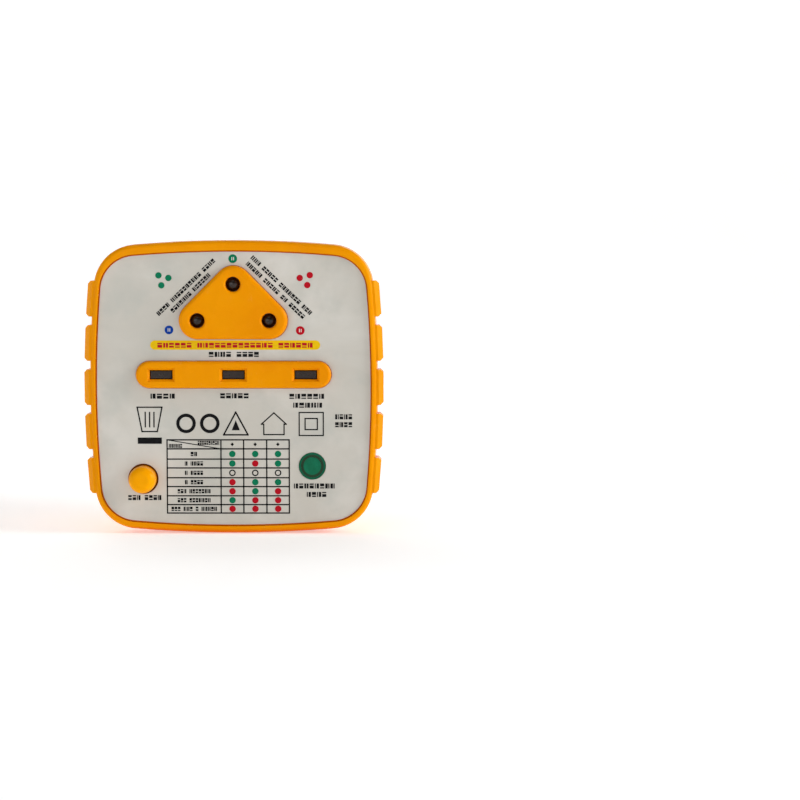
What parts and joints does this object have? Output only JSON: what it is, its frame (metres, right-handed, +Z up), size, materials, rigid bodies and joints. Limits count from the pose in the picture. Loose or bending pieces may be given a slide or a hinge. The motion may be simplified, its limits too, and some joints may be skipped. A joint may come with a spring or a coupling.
{
  "type": "outlet tester plug",
  "caption": "Plug-in socket tester: flared two-shell housing, round earthed plug insert with two pins, printed front panel, lamps, sprung test button and touch pad.",
  "frame": {"origin": "midway between the two pins, on the face of the plug", "axes": "+X right and +Z up as seen by a user facing the label, +Y from the label towards the pin tips"},
  "size_m": [0.0686, 0.0712, 0.0674],
  "materials": {
    "orange_plastic": "satin moulded",
    "button_orange": "satin moulded",
    "printed_label": "fine-grained printed film",
    "white_plastic": "moulded",
    "nickel": "polished nickel plate",
    "tinned_strip": "rolled and plated strip",
    "steel": "zinc plated",
    "clear_lens": "unlit lens",
    "tinted_lens": "unlit lens",
    "black_plastic": "moulded",
    "touch_green": "conductive print",
    "board_green": "solder resist",
    "capacitor_yellow": "moulded case",
    "ceramic_white": "cement",
    "varistor_blue": "dipped coating",
    "resistor_blue": "lacquer",
    "glass": "glass tube with plated caps",
    "lead_blue": "insulation",
    "lead_brown": "insulation",
    "lead_green": "insulation"
  },
  "bodies": {
    "housing": {"board_screws": "steel", "bridge_rectifier": "black_plastic", "button_spring": "steel", "buzzer": "black_plastic", "check_lamp": "tinted_lens", "dropper_resistor_1": "resistor_blue", "dropper_resistor_2": "resistor_blue", "dropper_resistor_3": "resistor_blue", "earth_bottom_contact": "tinned_strip", "earth_lamp": "clear_lens", "earth_lead": "lead_green", "earth_socket_spring": "tinned_strip", "earth_strip": "tinned_strip", "front_label": "printed_label", "front_shell": "orange_plastic", "fuse": "glass", "good_lamp": "tinted_lens", "insert_screws": "steel", "live_lamp": "clear_lens", "live_lead": "lead_brown", "live_pin": "nickel", "load_resistor": "ceramic_white", "main_board": "board_green", "mains_capacitor": "capacitor_yellow", "microcontroller": "black_plastic", "neutral_lamp": "clear_lens", "neutral_lead": "lead_blue", "neutral_pin": "nickel", "pin_carrier": "white_plastic", "plug_body": "orange_plastic", "rear_shell": "orange_plastic", "shell_screws": "steel", "smoothing_capacitor": "black_plastic", "switch_body": "black_plastic", "test_triac": "black_plastic", "touch_contact": "steel", "touch_pad": "touch_green", "urgent_lamp": "tinted_lens", "varistor": "varistor_blue"},
    "button": {"test_button": "button_orange", "switch_stem": "black_plastic"}
  },
  "joints": [
    {"name": "test_button_press", "type": "slide", "parent": "housing", "child": "button", "axis": [0, 1, 0], "range_m": [0, 0.0015], "stiffness_N_per_m": 800, "springref_m": -0.0012, "deforming": ["button_spring"]}
  ]
}
